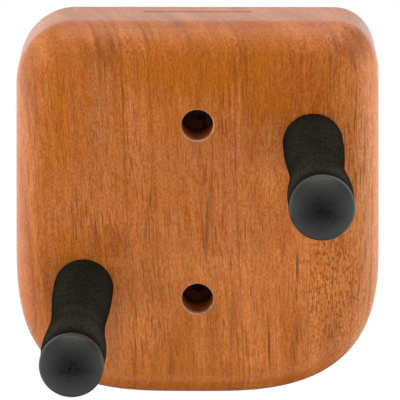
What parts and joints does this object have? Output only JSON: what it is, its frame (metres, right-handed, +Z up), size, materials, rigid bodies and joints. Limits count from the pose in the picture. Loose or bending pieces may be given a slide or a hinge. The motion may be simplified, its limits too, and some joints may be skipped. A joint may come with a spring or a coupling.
{
  "type": "wall guitar hanger",
  "caption": "Shaped wooden wall block with staggered padded pegs that carry a guitar by its headstock, screwed to the wall through counterbored holes.",
  "frame": {"origin": "on the wall face, midway between the two screw holes", "axes": "+Z up, +X to the right as seen from the room, +Y into the wall; the pegs stand out along -Y, tilted up"},
  "size_m": [0.1154, 0.1162, 0.1234],
  "materials": {
    "mahogany": "satin lacquer over reddish brown straight-grained hardwood",
    "foam": "matt black closed-cell foam",
    "cap_rubber": "satin dark grey rubber",
    "steel": "bright drawn steel",
    "zinc": "zinc plated"
  },
  "bodies": {
    "hanger": {"wood_block": "mahogany", "right_peg_rod": "steel", "right_end_cap": "cap_rubber", "right_front_washer": "zinc", "right_rear_washer": "zinc", "right_lock_washer": "zinc", "right_nut": "zinc", "left_peg_rod": "steel", "left_end_cap": "cap_rubber", "left_front_washer": "zinc", "left_rear_washer": "zinc", "left_lock_washer": "zinc", "left_nut": "zinc"},
    "right_pad": {"right_sleeve": "foam"},
    "left_pad": {"left_sleeve": "foam"}
  },
  "joints": [
    {"name": "right_sleeve_turn", "type": "hinge", "parent": "hanger", "child": "right_pad", "pos_m": [0.036, -0.0267, 0.02335], "axis": [0, -0.9974, 0.0715], "continuous": true},
    {"name": "left_sleeve_turn", "type": "hinge", "parent": "hanger", "child": "left_pad", "pos_m": [-0.036, -0.0267, -0.02475], "axis": [0, -0.9974, 0.0715], "continuous": true}
  ]
}
